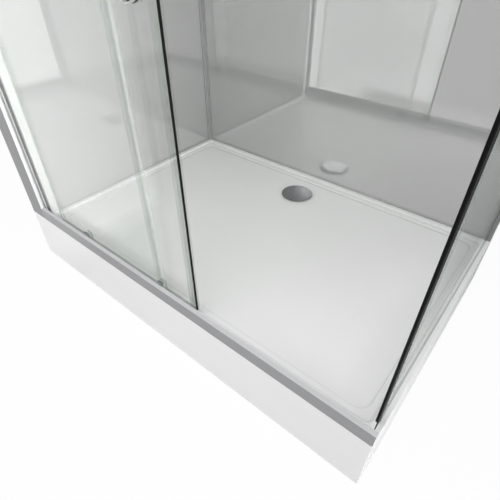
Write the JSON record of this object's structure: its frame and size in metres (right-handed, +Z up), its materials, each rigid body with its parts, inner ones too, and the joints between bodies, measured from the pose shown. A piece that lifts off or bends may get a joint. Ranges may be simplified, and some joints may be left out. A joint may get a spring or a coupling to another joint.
{
  "type": "shower cabin",
  "caption": "Rectangular shower cabin with a low tray on feet, opaque glass walls, a fixed front pane, a sliding glass door on rollers, a clear side pane and a wall mixer with overhead shower.",
  "frame": {"origin": "on the floor, under the centre of the tray's outline", "axes": "+X to the right seen from the front, +Y from the door to the back wall, +Z up"},
  "size_m": [1.2, 0.8, 2.15],
  "materials": {
    "white_acrylic": "gloss",
    "satin_aluminium": "satin anodised",
    "white_enamel": "gloss",
    "clear_glass": "polished",
    "wall_glass": "polished, painted behind",
    "clear_pvc": "clear",
    "black_magnet": "satin",
    "chrome": "polished",
    "brass": "machined",
    "steel": "zinc plated",
    "painted_steel": "powder coated",
    "clear_nylon": "clear",
    "dark_plastic": "matt",
    "roller_plastic": "satin",
    "drain_plastic": "matt",
    "rubber": "matt"
  },
  "bodies": {
    "cabin": {"shower_tray": "white_acrylic", "front_apron": "white_acrylic", "right_apron": "white_acrylic", "left_post": "satin_aluminium", "bottom_rail": "satin_aluminium", "top_rail": "satin_aluminium", "left_joint_profile": "satin_aluminium", "side_top_rail": "satin_aluminium", "right_wall_profile": "satin_aluminium", "left_top_profile": "satin_aluminium", "back_top_profile": "satin_aluminium", "rear_corner_post": "satin_aluminium", "rear_corner_trim": "satin_aluminium", "left_wall_front_profile": "white_enamel", "side_base_profile": "white_enamel", "fixed_glass": "clear_glass", "side_glass": "clear_glass", "left_wall_panel": "wall_glass", "back_wall_panel": "wall_glass", "fixed_glass_seal": "clear_pvc", "side_seal_carrier": "clear_pvc", "side_magnet_seal": "black_magnet", "mixer_body": "chrome", "wall_plates": "chrome", "riser_pipe": "chrome", "riser_bracket": "chrome", "inlet_unions": "brass", "foot_rods": "steel", "foot_nuts": "steel", "bracket_screws": "steel", "wall_brackets": "steel", "support_bars": "painted_steel", "support_crossbars": "painted_steel", "foot_pads": "dark_plastic", "drain_body": "drain_plastic", "drain_flange": "drain_plastic", "trap_insert": "drain_plastic", "drain_gasket": "rubber"},
    "door": {"door_glass": "clear_glass", "hanger_plates": "steel", "roller_axles": "steel", "axle_nuts": "steel", "door_magnet_seal": "black_magnet", "door_seal_carrier": "clear_pvc", "door_rear_seal": "clear_pvc", "door_bottom_guides": "clear_nylon", "door_drip_seal": "clear_pvc", "door_pull_front": "chrome", "door_pull_back": "chrome"},
    "roller_1": {"roller_wheel_1": "roller_plastic"},
    "roller_2": {"roller_wheel_2": "roller_plastic"},
    "roller_3": {"roller_wheel_3": "roller_plastic"},
    "roller_4": {"roller_wheel_4": "roller_plastic"},
    "drain_lid": {"drain_cover": "chrome"},
    "temperature_control": {"temperature_knob": "chrome"},
    "flow_control": {"flow_knob": "chrome"},
    "head": {"shower_head": "chrome", "nozzle_plate": "dark_plastic", "spray_nozzles": "rubber"}
  },
  "joints": [
    {"name": "door_slide", "type": "slide", "parent": "cabin", "child": "door", "axis": [1, 0, 0], "range_m": [-0.066, 0.456]},
    {"name": "roller_1_turn", "type": "hinge", "parent": "door", "child": "roller_1", "pos_m": [-0.384, -0.3768, 2.12], "axis": [0, 1, 0], "range_deg": [-350, 2380]},
    {"name": "roller_2_turn", "type": "hinge", "parent": "door", "child": "roller_2", "pos_m": [-0.332, -0.3768, 2.12], "axis": [0, 1, 0], "range_deg": [-350, 2380]},
    {"name": "roller_3_turn", "type": "hinge", "parent": "door", "child": "roller_3", "pos_m": [-0.011, -0.3768, 2.12], "axis": [0, 1, 0], "range_deg": [-350, 2380]},
    {"name": "roller_4_turn", "type": "hinge", "parent": "door", "child": "roller_4", "pos_m": [0.041, -0.3768, 2.12], "axis": [0, 1, 0], "range_deg": [-350, 2380]},
    {"name": "drain_cover_lift", "type": "slide", "parent": "cabin", "child": "drain_lid", "axis": [0, 0, 1], "range_m": [0, 0.03]},
    {"name": "temperature_turn", "type": "hinge", "parent": "cabin", "child": "temperature_control", "pos_m": [-0.487, 0.14, 1.08], "axis": [0, 1, 0], "range_deg": [-120, 120]},
    {"name": "flow_turn", "type": "hinge", "parent": "cabin", "child": "flow_control", "pos_m": [-0.487, -0.08, 1.08], "axis": [0, 1, 0], "range_deg": [0, 110]},
    {"name": "head_tilt", "type": "hinge", "parent": "cabin", "child": "head", "pos_m": [-0.137, 0.03, 1.936], "axis": [0, 1, 0], "range_deg": [-15, 15]}
  ],
  "couplings": [
    {"joint": "roller_1_turn", "follows": "door_slide", "rad_per_m": 90.909},
    {"joint": "roller_2_turn", "follows": "door_slide", "rad_per_m": 90.909},
    {"joint": "roller_3_turn", "follows": "door_slide", "rad_per_m": 90.909},
    {"joint": "roller_4_turn", "follows": "door_slide", "rad_per_m": 90.909}
  ]
}
